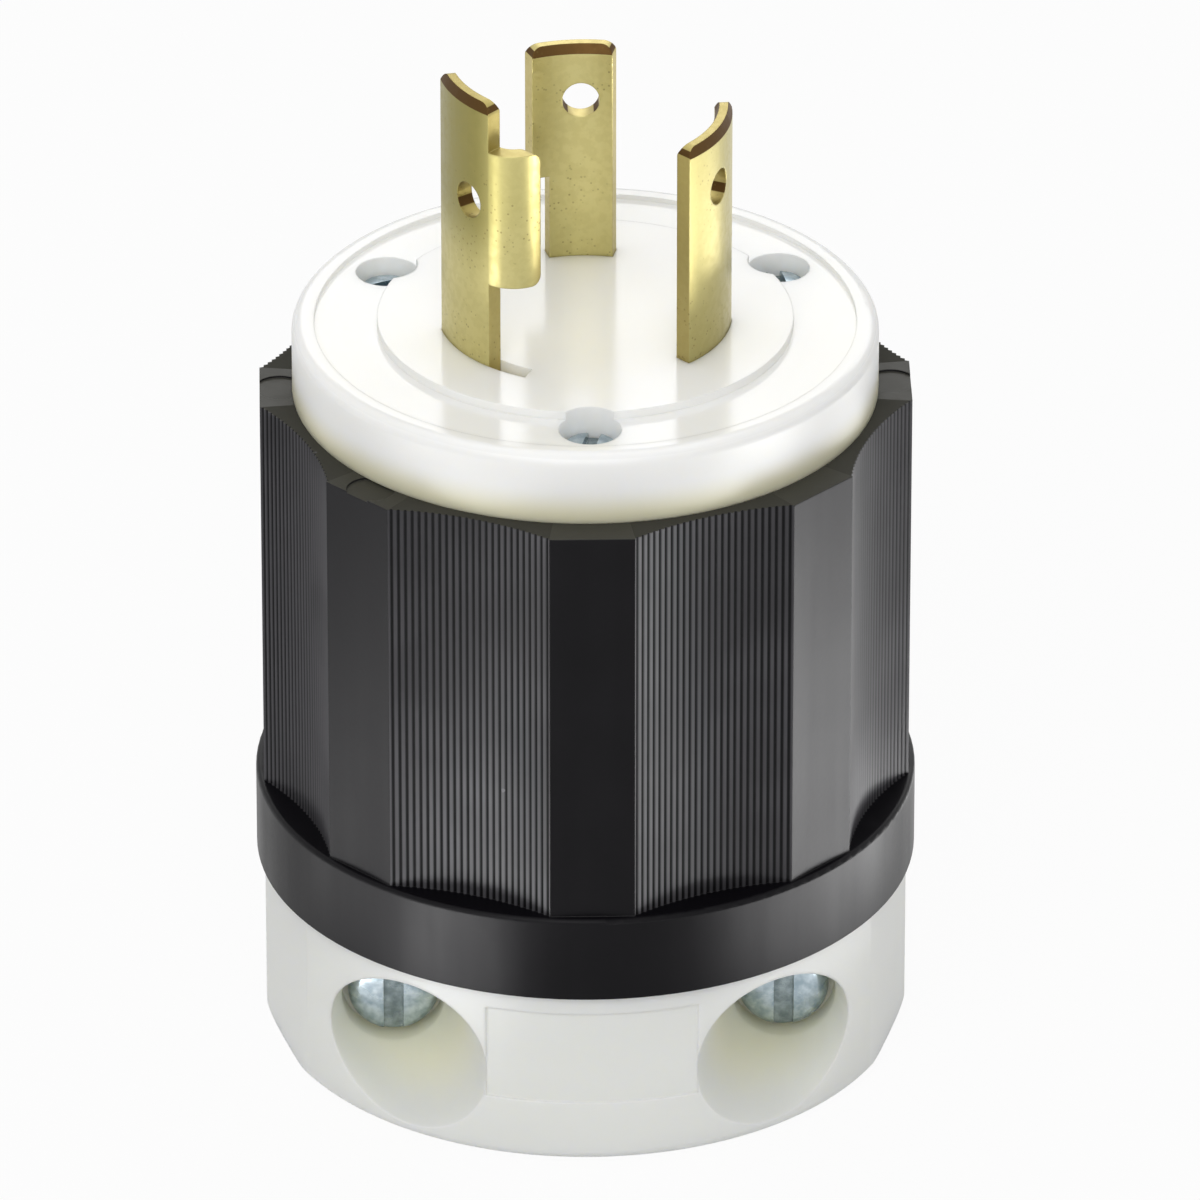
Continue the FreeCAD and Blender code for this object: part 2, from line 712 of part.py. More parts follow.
def blade_band(body, name, start, end, bottom, top, coined=False):
    """A stretch of the blade circle from one angle to another, coined along its top if asked."""
    band = sketch_on(body, "XZ_Plane", name, turn=(start + end) / 2 - 90)
    corners = [(BLADE_INNER, bottom), ("blade_radius", bottom)]
    if coined:
        corners += [
            ("blade_radius", f"{top} - blade_coin_height"),
            ("blade_radius - blade_coin_depth", top),
            (f"{BLADE_INNER} + blade_coin_depth", top),
            (BLADE_INNER, f"{top} - blade_coin_height"),
        ]
    else:
        corners += [("blade_radius", top), (BLADE_INNER, top)]
    outline(band, corners)
    return turn(body, band, "Revolution", str(end - start), centred=True)


def round_tip_corner(body, blade, angle, way, reach):
    """Round one corner of a blade's tip: way is 1 at the end where the angle grows, else -1."""
    name = f"{blade}_tip_{'far' if way > 0 else 'near'}"
    sketch = sketch_on(body, "XZ_Plane", name, turn=angle)
    top = plateau_level() + size(reach)
    radius = size("blade_corner_round")
    centre = Vector(-way * radius, top - radius, 0)
    half_turn = radius * math.sqrt(0.5)
    arc_start = centre + Vector(0, radius, 0)
    arc_middle = centre + Vector(way * half_turn, half_turn, 0)
    arc_end = centre + Vector(way * radius, 0, 0)
    outside = [
        arc_end + Vector(way * PAST, 0, 0),
        Vector(way * PAST, top + PAST, 0),
        arc_start + Vector(0, PAST, 0),
    ]
    path = [arc_end] + outside + [arc_start]
    sketch.addGeometry(Part.Arc(arc_start, arc_middle, arc_end), False)
    sketch.addGeometry([Part.LineSegment(path[i], path[i + 1]) for i in range(len(path) - 1)], False)
    extrude(body, sketch, "Pocket", f"blade_radius + {PAST}", reverse=True)


def finish_blade(body, blade):
    """Cut the blade's holes, and turn the finished blade to its place."""
    hole = sketch_on(body, "XZ_Plane", blade + "_holes")
    circle(hole, "0", f"{PLATEAU} + blade_hole_height", "blade_hole_radius")
    circle(hole, "0", TERMINAL_LEVEL, "terminal_shank_radius + hole_clearance")
    extrude(body, hole, "Pocket", "2 * blade_radius", reverse=True, both=True)
    body.Placement = Placement(Vector(0, 0, 0), Rotation(Vector(0, 0, 1), size(blade + "_angle")))
    return body


def add_tab(body, blade):
    half = size("tab_width_angle") / 2
    blade_band(body, blade + "_tab", -half, half, HUB_FOOT, CHAMBER_ROOF)


def make_hooked_blade(blade):
    """A straight blade with a locking notch under the hook on one edge."""
    body = new_body("blade_" + blade)
    half = size(blade + "_width_angle") / 2
    hook = size(blade + "_hook_angle")
    blade_band(body, blade + "_strip", -half, half + hook, HUB_FOOT,
               f"({PLATEAU} + blade_reach)", coined=True)
    notch = sketch_on(body, "XZ_Plane", blade + "_notch", turn=half + hook - 90)
    rectangle(notch, f"{BLADE_INNER} - {PAST}", f"blade_radius + {PAST}",
              f"{HUB_FOOT} - {PAST}", f"{PLATEAU} + lock_notch_height")
    turn(body, notch, "Groove", str(2 * hook), centred=True)
    round_tip_corner(body, blade, -half, -1, "blade_reach")
    round_tip_corner(body, blade, half + hook, 1, "blade_reach")
    add_tab(body, blade)
    return finish_blade(body, blade)


def make_ground_blade():
    """The taller blade, whose ear curls in towards the axis above a notch."""
    body = new_body("blade_ground")
    start = -size("ground_start_angle")
    end = size("ground_end_angle")
    blade_band(body, "ground_strip", start, end, HUB_FOOT, f"({PLATEAU} + ground_reach)", coined=True)
    round_tip_corner(body, "ground", start, -1, "ground_reach")
    round_tip_corner(body, "ground", end, 1, "ground_reach")
    ear = sketch_on(body, "XZ_Plane", "ear", turn=end - 90)
    ear_foot = f"({PLATEAU} + lock_notch_height)"
    rectangle(ear, BLADE_INNER, "blade_radius", ear_foot, f"{ear_foot} + ear_height")
    upright_axis(ear, f"{BLADE_INNER} + blade_thickness / 2 - ear_bend_radius")
    turn(body, ear, "Revolution", "ear_turn_angle", axis="Axis0")
    ear_levels = [plateau_level() + size("lock_notch_height")]
    ear_levels.append(ear_levels[0] + size("ear_height"))
    round_edges(body, "ear_corner_round", across_ear_end(ear_levels))
    blade_band(body, "ground_shank", start, end + size("ground_shank_angle"), CHAMBER_ROOF,
               f"({PLATEAU} - ground_shank_depth)")
    add_tab(body, "ground")
    return finish_blade(body, "ground")


# Terminals

def make_terminal_plate(blade):
    """The pressure plate that the terminal screw draws outwards, with the wire between."""
    body = new_body("terminal_plate_" + blade)
    outer = f"({BLADE_INNER} - terminal_wire_gap)"
    plate = sketch_on(body, "XZ_Plane", blade + "_plate", f"{outer} - terminal_plate_thickness")
    rectangle(plate, "-terminal_plate_width / 2", "terminal_plate_width / 2",
              f"{TERMINAL_LEVEL} - terminal_plate_height / 2",
              f"{TERMINAL_LEVEL} + terminal_plate_height / 2")
    circle(plate, "0", TERMINAL_LEVEL, "terminal_shank_radius + thread_clearance")
    extrude(body, plate, "Pad", "terminal_plate_thickness")
    body.Placement = Placement(Vector(0, 0, 0), Rotation(Vector(0, 0, 1), size(blade + "_angle")))
    return body


def make_wire_cover():
    """The disc that closes the chambers, with a hole for each wire and a peg into the hub."""
    body = new_body("wire_cover")
    disc = sketch_on(body, "XY_Plane", "cover_disc", f"{HUB_FOOT} - wire_cover_thickness")
    circle(disc, "0", "0", HUB_RADIUS)
    for blade in ("line", "neutral", "ground"):
        x, y = around(WIRE_HOLE_CIRCLE, f"{blade}_angle")
        circle(disc, x, y, "wire_hole_radius")
    extrude(body, disc, "Pad", "wire_cover_thickness")
    peg = sketch_on(body, "XY_Plane", "cover_peg", HUB_FOOT)
    circle(peg, "0", "0", "peg_radius")
    extrude(body, peg, "Pad", "peg_length")
    return body


# Screws and nuts

def make_screw(label, kind, shank_length):
    """A slotted pan head screw, head up, with its seat in the plane z = 0."""
    body = new_body(label)
    head = f"{kind}_head_radius"
    head_height = f"{kind}_head_height"
    profile = sketch_on(body, "XZ_Plane", label + "_profile")
    outline(profile, [
        ("0", f"-({shank_length})"),
        (f"{kind}_shank_radius", f"-({shank_length})"),
        (f"{kind}_shank_radius", "0"),
        (head, "0"),
        (head, f"{head_height} * 0.45"),
        (f"{head} * 0.8", f"{head_height} * 0.85"),
        (f"{head} * 0.4", head_height),
        ("0", head_height),
    ])
    turn(body, profile, "Revolution")
    slot = sketch_on(body, "XY_Plane", label + "_slot", head_height)
    rectangle(slot, f"-{head} - {PAST}", f"{head} + {PAST}", "-slot_width / 2", "slot_width / 2")
    extrude(body, slot, "Pocket", f"{head_height} * slot_share")
    return body


def place(body, position, rotation):
    """Set a body where the formulas say, turned by the rotation."""
    body.Placement = Placement(Vector(0, 0, 0), rotation)
    for axis, formula in zip("xyz", position):
        body.setExpression(f"Placement.Base.{axis}", bound(formula))
    return body


def about(axis, angle):
    return Rotation(Vector(*axis), angle)


def make_assembly_screws():
    """Three long screws that hold the face block, the housing and the base together."""
    turns = {"front": (0, 78), "right": (120, 100), "left": (240, 24)}
    reach = f"{ASSEMBLY_SEAT} - {PILOT_FLOOR} - hole_clearance"
    bodies = []
    for name, (angle, slot_turn) in turns.items():
        body = make_screw("assembly_screw_" + name, "assembly", reach)
        x, y = around(ASSEMBLY_CIRCLE, str(angle))
        bodies.append(place(body, (x, y, ASSEMBLY_SEAT), about((0, 0, 1), slot_turn)))
    return bodies


def make_clamp_fasteners():
    """Two screws that draw the jaw in, and the square nuts that they turn in."""
    bodies = []
    for name, side in (("left", "-1"), ("right", "1")):
        x = f"{side} * {CLAMP_SCREW_PLACE}"
        screw = make_screw("clamp_screw_" + name, "clamp", f"funnel_floor_place + {JAW_BACK}")
        upright_slot = about((1, 0, 0), 90) * about((0, 0, 1), 90)
        bodies.append(place(screw, (x, "-funnel_floor_place", "clamp_screw_height"), upright_slot))
        nut = new_body("clamp_nut_" + name)
        plan = sketch_on(nut, "XY_Plane", name + "_nut")
        rectangle(plan, "-nut_width / 2", "nut_width / 2", "-nut_width / 2", "nut_width / 2")
        circle(plan, "0", "0", "clamp_shank_radius + thread_clearance")
        extrude(nut, plan, "Pad", "nut_thickness")
        bodies.append(place(nut, (x, JAW_BACK, "clamp_screw_height"), about((1, 0, 0), 90)))
    return bodies


def make_terminal_screws():
    bodies = []
    for blade in ("line", "neutral", "ground"):
        screw = make_screw("terminal_screw_" + blade, "terminal", "terminal_shank_length")
        x, y = around("blade_radius", f"{blade}_angle")
        facing = about((0, 0, 1), size(blade + "_angle")) * about((1, 0, 0), 90)
        bodies.append(place(screw, (x, y, TERMINAL_LEVEL), facing))
    return bodies


def check(bodies):
    """Every object rebuilt without a fault, and every piece one valid solid."""
    doc.recompute()
    for item in doc.Objects:
        if "Invalid" in item.State or "Error" in item.State:
            raise RuntimeError(f"{item.Label} failed: {item.State}")
    for body in bodies:
        shape = body.Shape
        if shape.isNull() or not shape.isValid() or len(shape.Solids) != 1:
            raise RuntimeError(f"{body.Label} is not one valid solid")


def build():
    bodies = [make_base(), make_saddle(), make_jaw(), make_housing(), make_face_block()]
    bodies += [make_hooked_blade("line"), make_hooked_blade("neutral"), make_ground_blade()]
    bodies += [make_terminal_plate(blade) for blade in ("line", "neutral", "ground")]
    bodies.append(make_wire_cover())
    bodies += make_terminal_screws()
    bodies += make_assembly_screws()
    bodies += make_clamp_fasteners()
    check(bodies)
    os.makedirs("parts", exist_ok=True)
    for body in bodies:
        body.Shape.exportStep(f"parts/{body.Label}.step")
        box = body.Shape.BoundBox
        print(f"{body.Label}: {body.Shape.Volume:.1f} mm3, z {box.ZMin:.2f} to {box.ZMax:.2f}")


build()
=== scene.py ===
# %% [markdown]
# # A locking power plug, dressed for its portrait
# The plug is built elsewhere, in millimetres, as twenty-two separate pieces. This lesson loads
# those pieces as a fixed frame and gives them what a construction drawing does not have: the
# finish of moulded nylon, sheet brass and zinc plate, the threads of the screws, and light to see
# them by. Lengths on the plug are in metres, written through MM so that they can be read in
# millimetres.

# %% Load the frame
import math

import bmesh
import bpy
from mathutils import Matrix, Vector


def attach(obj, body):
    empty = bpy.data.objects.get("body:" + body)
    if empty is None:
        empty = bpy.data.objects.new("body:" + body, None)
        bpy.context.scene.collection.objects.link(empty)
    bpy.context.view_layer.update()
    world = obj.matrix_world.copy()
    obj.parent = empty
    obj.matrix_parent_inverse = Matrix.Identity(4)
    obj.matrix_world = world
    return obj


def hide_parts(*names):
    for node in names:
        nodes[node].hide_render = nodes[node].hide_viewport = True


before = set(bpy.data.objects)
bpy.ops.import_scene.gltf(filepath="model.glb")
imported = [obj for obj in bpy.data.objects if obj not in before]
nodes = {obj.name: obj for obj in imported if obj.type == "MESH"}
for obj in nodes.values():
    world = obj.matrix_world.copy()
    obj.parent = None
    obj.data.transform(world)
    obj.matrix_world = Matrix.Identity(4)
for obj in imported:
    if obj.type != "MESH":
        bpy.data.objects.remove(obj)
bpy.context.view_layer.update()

MM = 0.001
print("pieces in the frame:", len(nodes))

# %% [markdown]
# ## The camera
# A product picture like this is taken from far away with a long lens, so that upright edges stay
# parallel. The distance, the height and the focal length below come from fitting the circles of
# the plug. The focal length is counted in pixels of the square picture, and the underside's
# centre is seen at a known pixel, so the camera is aimed a little above it instead of being
# shifted.

# %% Camera
PICTURE_SIZE = 1200
FOCAL_PIXELS = 15149
BASE_CENTRE_PIXEL = (585.4, 997.4)
CAMERA_DISTANCE = 1241.7 * MM
CAMERA_RISE = math.radians(30.29)
CAMERA_TURN = math.radians(-1.2)
SENSOR_WIDTH = 36.0

level = Vector((math.sin(CAMERA_TURN), -math.cos(CAMERA_TURN), 0))
to_camera = level * math.cos(CAMERA_RISE) + Vector((0, 0, math.sin(CAMERA_RISE)))
camera_right = to_camera.cross(Vector((0, 0, -1))).normalized()
camera_up = to_camera.cross(camera_right)
across = (PICTURE_SIZE / 2 - BASE_CENTRE_PIXEL[0]) / FOCAL_PIXELS
upward = (BASE_CENTRE_PIXEL[1] - PICTURE_SIZE / 2) / FOCAL_PIXELS
aim = -to_camera + camera_right * across + camera_up * upward

camera_data = bpy.data.cameras.new("portrait_camera")
camera_data.sensor_width = SENSOR_WIDTH
camera_data.lens = FOCAL_PIXELS / PICTURE_SIZE * SENSOR_WIDTH
camera_data.clip_end = 10
camera = bpy.data.objects.new("portrait_camera", camera_data)
camera.location = to_camera * CAMERA_DISTANCE
camera.rotation_euler = aim.to_track_quat("-Z", "Y").to_euler()
bpy.context.scene.collection.objects.link(camera)
bpy.context.scene.camera = camera
bpy.context.scene.view_settings.view_transform = "Standard"
print("lens, mm:", round(camera_data.lens, 1))

# %% [markdown]
# ## Shader sums written as sums
# A material's pattern is arithmetic on masks, and a page of node links hides that. The small
# class below wraps a socket, so that an expression such as 1 - mask adds its Math node by itself.

# %% Wire
class Wire:
    """A socket of a material: arithmetic on it adds Math nodes."""

    def __init__(self, paint, socket):
        self.paint = paint
        self.socket = socket

    def math(self, operation, *values):
        return self.paint.node("ShaderNodeMath", {"operation": operation}, dict(enumerate(values)))

    def __add__(self, other):
        return self.math("ADD", self, other)

    def __radd__(self, other):
        return self.math("ADD", other, self)

    def __sub__(self, other):
        return self.math("SUBTRACT", self, other)

    def __rsub__(self, other):
        return self.math("SUBTRACT", other, self)

    def __mul__(self, other):
        return self.math("MULTIPLY", self, other)

    def __rmul__(self, other):
        return self.math("MULTIPLY", other, self)

    def __truediv__(self, other):
        return self.math("DIVIDE", self, other)

    def __pow__(self, other):
        return self.math("POWER", self, other)

    def __abs__(self):
        return self.math("ABSOLUTE", self)

    def inside(self, low, high, soft):
        """1 between low and high and 0 outside, with soft edges this wide."""
        return self.step(low - soft, low) * (1 - self.step(high, high + soft))

    def step(self, low, high):
        """0 below low, 1 above high, and a smooth climb between."""
        settings = {"interpolation_type": "SMOOTHSTEP"}
        return self.paint.node("ShaderNodeMapRange", settings,
                               {"Value": self, "From Min": low, "From Max": high})


print("a wire can be added, subtracted, multiplied, divided, raised and turned positive")

# %% [markdown]
# ## One material, its patterns and its edges
# Every material starts from the Principled shader. Any node comes from one method, which sets the
# node up first and fills its sockets afterwards, and the methods below it name the patterns that
# moulded and stamped parts need: clouds, specks, softened edges and pale rims. Places are read in
# the object's own coordinates, so that a pattern stays on its part when the part moves.

# %% Paint
EDGE_SAMPLES = 4


class Paint:
    """A new material with its Principled shader, and the nodes that feed it."""

    def __init__(self, name, **constants):
        self.material = bpy.data.materials.new(name)
        self.material.use_nodes = True
        self.tree = self.material.node_tree
        self.shader = self.tree.nodes["Principled BSDF"]
        for socket, value in constants.items():
            self.shader.inputs[socket.replace("_", " ")].default_value = value
        self.place = self.node("ShaderNodeTexCoord", output="Object")

    def node(self, kind, settings=None, inputs=None, output=0):
        """A new node: its settings come first, then numbers or wires fill its inputs."""
        made = self.tree.nodes.new(kind)
        for name, value in (settings or {}).items():
            setattr(made, name, value)
        for name, value in (inputs or {}).items():
            if isinstance(value, Wire):
                self.tree.links.new(value.socket, made.inputs[name])
            else:
                made.inputs[name].default_value = value
        return Wire(self, made.outputs[output])

    def mix(self, mask, first, second):
        """The first colour where the mask is 0, the second where it is 1."""
        settings = {"data_type": "RGBA"}
        return self.node("ShaderNodeMix", settings, {0: mask, 6: first, 7: second}, output=2)

    def mix_vectors(self, mask, first, second):
        """The same for vectors, such as normals."""
        settings = {"data_type": "VECTOR"}
        return self.node("ShaderNodeMix", settings, {0: mask, 4: first, 5: second}, output=1)

    def parts(self, vector):
        """The x, y and z of a vector."""
        split = self.tree.nodes.new("ShaderNodeSeparateXYZ")
        self.tree.links.new(vector.socket, split.inputs[0])
        return [Wire(self, socket) for socket in split.outputs]

    def noise(self, scale, detail=3.0, stretch=(1, 1, 1)):
        """Cloudy noise from 0 to 1, drawn out along an axis where the stretch is under 1."""
        where = self.node("ShaderNodeMapping", None, {"Vector": self.place, "Scale": stretch})
        return self.node("ShaderNodeTexNoise", None,
                         {"Vector": where, "Scale": scale, "Detail": detail})

    def specks(self, scale, size):
        """Sparse round specks: 1 inside a speck, 0 elsewhere."""
        reach = self.node("ShaderNodeTexVoronoi", None, {"Vector": self.place, "Scale": scale})
        return 1 - reach.step(size * 0.6, size)

    def soft_edges(self, radius):
        """Normals that turn softly across sharp edges, as if rounded to the radius."""
        return self.node("ShaderNodeBevel", {"samples": EDGE_SAMPLES}, {"Radius": radius})

    def rims(self, softened):
        """1 on sharp edges, where softened normals leave the face's own, and 0 on plain faces."""
        facing = self.node("ShaderNodeTexCoord", output="Normal")
        settings = {"operation": "DOT_PRODUCT"}
        agree = self.node("ShaderNodeVectorMath", settings, {0: softened, 1: facing}, output=1)
        # Turned by under 8 degrees is a plain face, and by over 37 degrees a full rim.
        return 1 - agree.step(0.8, 0.99)

    def bump(self, height, distance, strength=1.0, under=None):
        """A normal that follows a height, over another normal where one is given."""
        inputs = {"Height": height, "Distance": distance, "Strength": strength}
        if under is not None:
            inputs["Normal"] = under
        return self.node("ShaderNodeBump", None, inputs)

    def feed(self, **links):
        """Link finished patterns to the shader, such as Base_Color=pattern."""
        for socket, wire in links.items():
            self.tree.links.new(wire.socket, self.shader.inputs[socket.replace("_", " ")])
        return self.material


def cover(names, material):
    """Give a material to CAD nodes, by name."""
    for name in names:
        slots = nodes[name].data.materials
        slots.clear()
        slots.append(material)
    print(material.name, "covers", len(names), "pieces")


# %% [markdown]
# ## A white surround
# A catalogue picture stands on white, yet a white surround would flood the plug with light. So
# the world and the floor have two faces. The camera and whatever mirrors or lets light through
# see them plain white. All other rays see a dimmer world, and a floor that is lit like paper.

# %% World and floor
FLOOR_REACH = 4.0
FLOOR_GLOW = 0.93
WORLD_LEVEL = 0.45
PAPER = (0.8, 0.8, 0.8, 1)


def seen_directly(tree):
    """A socket that is 1 for camera, mirrored and transmitted rays, else 0."""
    light_path = tree.nodes.new("ShaderNodeLightPath")
    seen = light_path.outputs["Is Camera Ray"]
    for kind in ("Is Glossy Ray", "Is Transmission Ray"):
        either = tree.nodes.new("ShaderNodeMath")
        either.operation = "MAXIMUM"
        tree.links.new(seen, either.inputs[0])
        tree.links.new(light_path.outputs[kind], either.inputs[1])
        seen = either.outputs[0]
    return seen


def light_world():
    """A world that is plain white where it is seen directly, and dimmer as a light."""
    world = bpy.context.scene.world or bpy.data.worlds.new("studio")
    bpy.context.scene.world = world
    world.use_nodes = True
    tree = world.node_tree
    background = tree.nodes["Background"]
    background.inputs["Color"].default_value = (1, 1, 1, 1)
    strength = tree.nodes.new("ShaderNodeMapRange")
    strength.inputs["To Min"].default_value = WORLD_LEVEL
    strength.inputs["To Max"].default_value = 1.0
    tree.links.new(seen_directly(tree), strength.inputs["Value"])
    tree.links.new(strength.outputs[0], background.inputs["Strength"])


def make_floor():
    """A wide sheet of paper under the plug."""
    mesh = bpy.data.meshes.new("floor")
    grown = bmesh.new()
    bmesh.ops.create_grid(grown, x_segments=1, y_segments=1, size=FLOOR_REACH)
    grown.to_mesh(mesh)
    grown.free()
    floor = bpy.data.objects.new("floor", mesh)
    bpy.context.scene.collection.objects.link(floor)
    paper = Paint("white_floor", Base_Color=PAPER, Roughness=0.9)
    tree = paper.tree
    glow = tree.nodes.new("ShaderNodeEmission")
    blend = tree.nodes.new("ShaderNodeMixShader")
    share_of_glow = Wire(paper, seen_directly(tree)) * FLOOR_GLOW
    tree.links.new(share_of_glow.socket, blend.inputs[0])
    tree.links.new(paper.shader.outputs[0], blend.inputs[1])
    tree.links.new(glow.outputs[0], blend.inputs[2])
    tree.links.new(blend.outputs[0], tree.nodes["Material Output"].inputs[0])
    mesh.materials.append(paper.material)


light_world()
make_floor()
print("world level:", WORLD_LEVEL, "floor glow:", FLOOR_GLOW)

# %% [markdown]
# ## Lamps and cards
# White nylon and black nylon sit side by side, so the lamps are wide and even: one overhead, and
# one behind the camera. Black plastic shows its form by what it mirrors. Seen from above, an
# upright wall mirrors the floor in front of it, so bright cards lie on the floor beside the plug:
# brighter ones on the right, narrower ones on the left, and none in front, which keeps the front
# panel black. They light nothing and show only as reflections. So does the box behind the plug,
# which the glossy face mirrors. Each lamp's level says how bright it looks, where 1 is white
# paper. Lengths here are in metres, and a card's angle is counted from the front.

# %% Lamps
BOX_AIM = Vector((0, 0, 0.04))
CARD_HEIGHT = 0.002


def lamp(name, width, height, level, matrix):
    """A rectangular lamp that looks as bright as the level, where 1 is white."""
    data = bpy.data.lights.new(name, "AREA")
    data.shape = "RECTANGLE"
    data.size = width
    data.size_y = height
    data.energy = level * math.pi * width * height
    made = bpy.data.objects.new(name, data)
    made.matrix_world = matrix
    made.visible_camera = False
    bpy.context.scene.collection.objects.link(made)
    print(name, "level", level, "power, W:", round(data.energy, 2))
    return made


def soft_box(name, place, width, height, level):
    """A lamp at a place, facing the plug."""
    aim = (BOX_AIM - Vector(place)).to_track_quat("-Z", "Y").to_matrix().to_4x4()
    return lamp(name, width, height, level, Matrix.Translation(place) @ aim)


def card(name, degrees, near, far, width, level):
    """A bright card that lies on the floor, facing up, and shows only as a reflection."""
    turn = Matrix.Rotation(math.radians(degrees), 4, "Z")
    place = turn @ Matrix.Translation((0, -(near + far) / 2, CARD_HEIGHT))
    facing_up = place @ Matrix.Rotation(math.pi, 4, "X")
    lamp(name, width, far - near, level, facing_up).visible_diffuse = False


soft_box("top_box", (0.0, 0.1, 0.75), width=0.7, height=0.5, level=1.22)
soft_box("front_box", (-0.15, -0.7, 0.55), width=0.8, height=0.5, level=2.45)
back = soft_box("back_box", (0.15, 0.9, 0.55), width=0.9, height=0.3, level=2.0)
back.visible_diffuse = False
card("right_card", 68, near=0.046, far=0.19, width=0.068, level=10.5)
card("right_fill", 112, near=0.06, far=0.15, width=0.06, level=3.5)
card("left_card", -60, near=0.048, far=0.17, width=0.06, level=3.5)
card("left_strip", -37, near=0.046, far=0.085, width=0.028, level=12.0)

# %% [markdown]
# ## Where the grip is hollow
# The grip has eight flat panels and eight round hollows between them, and the hollows are ribbed.
# The material has to know how deep a point lies under the round surface that the crests touch. So
# the circle of a hollow is worked out here from the plug's own measures, and the angle about the
# axis is folded, so that one sum serves all eight. A real crest is rounded by wear and gleams
# with the hollow that it belongs to, so the ribs take their shine from the hollow's own normal.

# %% The grip's hollows
BODY_RADIUS = 26.1 * MM
PANEL_WIDTH = 6.8 * MM
HOLLOW_DEPTH = 0.95 * MM
BAND_TOP = 22.7 * MM
HOUSING_TOP = 56.9 * MM
HALF_STEP = math.pi / 8

half_hollow = HALF_STEP - math.atan(PANEL_WIDTH / 2 / BODY_RADIUS)
corner_radius = math.hypot(BODY_RADIUS, PANEL_WIDTH / 2)
half_chord = corner_radius * math.sin(half_hollow)
hollow_radius = (half_chord ** 2 + HOLLOW_DEPTH ** 2) / (2 * HOLLOW_DEPTH)
hollow_centre = corner_radius * math.cos(half_hollow) - HOLLOW_DEPTH + hollow_radius
print("radius of a grip hollow, mm:", round(hollow_radius / MM, 2))


def shine_of_hollow(paint):
    """The normal of the round hollow that a rib belongs to: it points at the hollow's centre."""
    x, y, _ = paint.parts(paint.place)
    turns = x.math("ARCTAN2", x, -1 * y) / (2 * HALF_STEP)
    middle = (turns.math("FLOOR", turns) + 0.5) * (2 * HALF_STEP)
    towards_x = middle.math("SINE", middle) * hollow_centre - x
    towards_y = middle.math("COSINE", middle) * -hollow_centre - y
    towards = paint.node("ShaderNodeCombineXYZ", None, {0: towards_x, 1: towards_y})
    settings = {"vector_type": "NORMAL", "convert_from": "OBJECT", "convert_to": "WORLD"}
    turned_out = paint.node("ShaderNodeVectorTransform", settings, {"Vector": towards})
    return paint.node("ShaderNodeVectorMath", {"operation": "NORMALIZE"}, {0: turned_out})


def depth_under_crests(paint):
    """How far a point lies under the crests of the ribs, and 1 inside a hollow, else 0."""
    x, y, z = paint.parts(paint.place)
    radius = (x * x + y * y) ** 0.5
    folded = x.math("PINGPONG", x.math("ARCTAN2", x, y), HALF_STEP)
    away = HALF_STEP - folded
    # The point, seen from the hollow's centre: this far aside, and this far in.
    beside = radius * away.math("SINE", away)
    out = hollow_centre - radius * away.math("COSINE", away)
    depth = (beside * beside + out * out) ** 0.5 - hollow_radius
    in_hollow = away.math("LESS_THAN", away, half_hollow) * z.math("GREATER_THAN", z, BAND_TOP)
    return depth, in_hollow


# %% [markdown]
# ## Black nylon
# The housing is glass-filled nylon: black with a trace of violet, satin rather than glossy. Its
# ribs are real geometry. Their crests carry a patchy painted highlight, while the grooves between
# them carry painted shade and are dull. Sharp edges carry a painted highlight too, and the ledge
# under the flange, which faces up, is painted a paler warm grey as painted light. The plain panels
# carry faint upright streaks, where the mould let go, and a few pale specks.

# %% Housing
LEDGE_FLOOR = 50 * MM
CREST_DEPTHS = 0.05 * MM, 0.15 * MM
GROOVE_DEPTHS = 0.11 * MM, 0.18 * MM
VIOLET_BLACK = (0.002, 0.0017, 0.0026, 1)
CLOUDED_BLACK = (0.004, 0.0035, 0.005, 1)
GROOVE_SHADE = (0.001, 0.001, 0.0015, 1)
CREST_HIGHLIGHT = (0.085, 0.083, 0.090, 1)
EDGE_HIGHLIGHT = (0.05, 0.05, 0.05, 1)
LEDGE_PAINTED_LIGHT = (0.042, 0.041, 0.034, 1)
PALE_SPECK = (0.10, 0.095, 0.105, 1)


